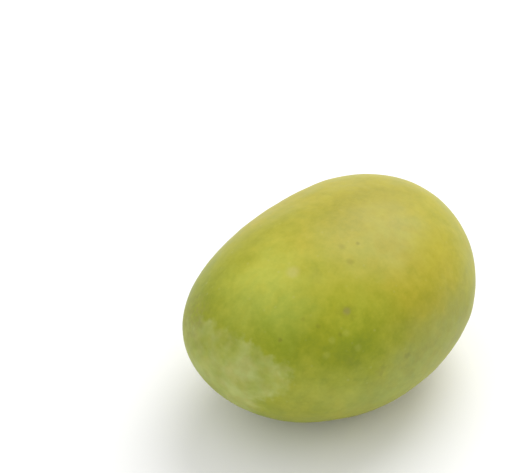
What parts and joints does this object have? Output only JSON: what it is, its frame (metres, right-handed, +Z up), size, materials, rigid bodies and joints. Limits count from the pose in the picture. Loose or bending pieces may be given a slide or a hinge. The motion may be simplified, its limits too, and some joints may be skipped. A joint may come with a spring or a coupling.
{
  "type": "mango",
  "caption": "Whole plump mango, oblong and slightly kidney-shaped, lying on its flatter cheek, with the short dry stub of its stalk in a shallow hollow.",
  "frame": {"origin": "on the surface that the fruit rests on, under the middle of its outline seen from above", "axes": "+X along the fruit to its stalk end, +Y towards the hollow side of the kidney shape (the belly), +Z up through the two cheeks"},
  "size_m": [0.1108, 0.083, 0.0702],
  "materials": {
    "skin": "satin",
    "stalk": "matte"
  },
  "bodies": {
    "root": {"fruit": "skin", "stalk_stub": "stalk"}
  },
  "joints": []
}
